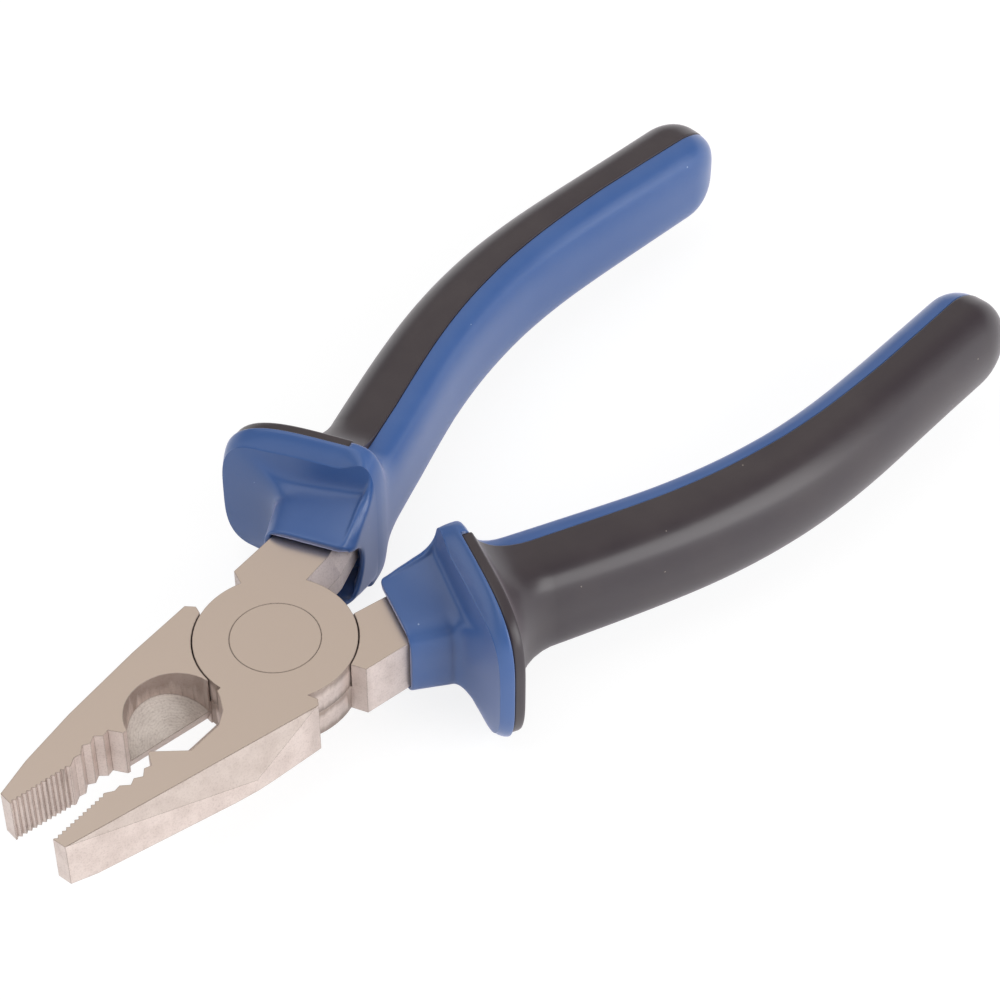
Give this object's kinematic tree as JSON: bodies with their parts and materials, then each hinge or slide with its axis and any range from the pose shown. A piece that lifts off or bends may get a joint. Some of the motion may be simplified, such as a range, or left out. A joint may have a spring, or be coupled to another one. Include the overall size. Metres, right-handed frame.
{
  "type": "combination pliers",
  "caption": "Lap-joint combination pliers with serrated jaw tips, curved pipe grip, wire cutter, flush pivot rivet, and hard and soft moulded hand grips with finger guards.",
  "frame": {"origin": "on the pivot axis, in the lower face of the head", "axes": "+Z along the pivot axis, from the lower to the upper face of the head; +X from the jaws to the handles, on the line midway between them; +Y towards the upper-leaf lever's handle"},
  "size_m": [0.1822, 0.0816, 0.0303],
  "materials": {
    "tool_steel": "ground and satin nickel plated",
    "rivet_steel": "ground flush with the head",
    "hard_grip": "moulded blue, fine satin",
    "soft_grip": "moulded black thermoplastic rubber, matt"
  },
  "bodies": {
    "lower_half": {"lower_lever": "tool_steel", "pivot_rivet": "rivet_steel", "lower_grip_core": "hard_grip", "lower_grip_cover": "soft_grip"},
    "upper_half": {"upper_lever": "tool_steel", "upper_grip_core": "hard_grip", "upper_grip_cover": "soft_grip"}
  },
  "joints": [
    {"name": "pivot", "type": "hinge", "parent": "lower_half", "child": "upper_half", "pos_m": [0, 0, 0.005], "axis": [0, 0, 1], "range_deg": [-11, 34]}
  ]
}
